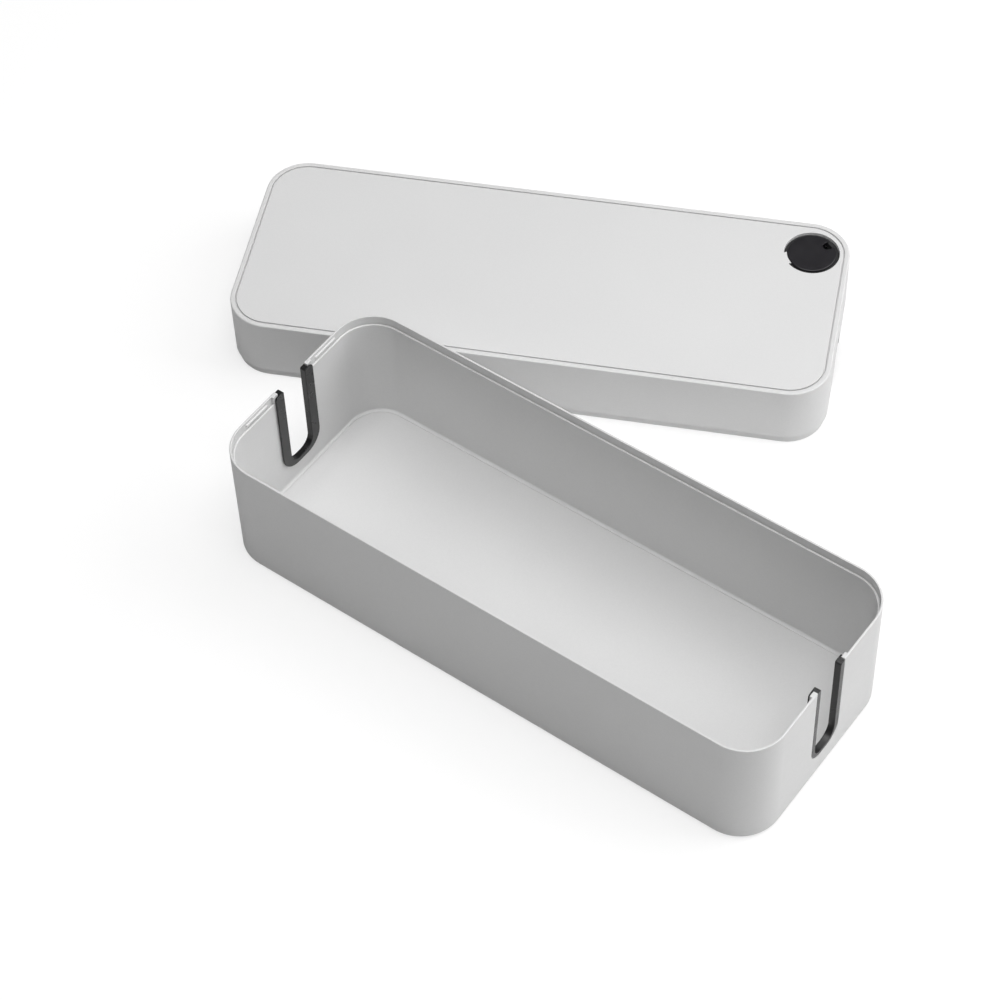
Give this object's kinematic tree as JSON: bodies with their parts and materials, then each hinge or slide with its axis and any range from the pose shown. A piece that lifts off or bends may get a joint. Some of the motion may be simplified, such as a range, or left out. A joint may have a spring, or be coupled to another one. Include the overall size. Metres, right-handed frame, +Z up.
{
  "type": "cable tray",
  "caption": "Lidded desktop cable tray: open rectangular tray with trimmed cable slots in its ends, and a lift-off lid with a round cable outlet.",
  "frame": {"origin": "middle of the floor area that the tray and its lid take up as set out, on the surface they stand on", "axes": "+X along the tray's length, towards its right end; +Y from the tray towards the lid behind it; +Z up"},
  "size_m": [0.5575, 0.4217, 0.0936],
  "materials": {
    "shell": "light grey moulded plastic, fine matte texture",
    "panel": "light grey plastic, soft matte top surface",
    "trim": "black moulded plastic, satin",
    "cap": "black moulded plastic, fine satin texture",
    "foot": "black rubber"
  },
  "bodies": {
    "tray": {"tray_shell": "shell", "slot_trim_left": "trim", "slot_trim_right": "trim", "foot_front_left": "foot", "foot_front_right": "foot", "foot_rear_left": "foot", "foot_rear_right": "foot"},
    "lid": {"lid_shell": "shell", "lid_panel": "panel", "lid_trim_left": "trim", "lid_trim_right": "trim", "outlet_seat": "trim"},
    "cap": {"outlet_cap": "cap"}
  },
  "joints": [
    {"name": "lid_lift", "type": "slide", "parent": "tray", "child": "lid", "axis": [0, 0, 1], "range_m": [0, 0.15]},
    {"name": "cap_turn", "type": "hinge", "parent": "lid", "child": "cap", "pos_m": [0.06848, 0.18433, 0.049], "axis": [0, 0, 1], "continuous": true}
  ]
}
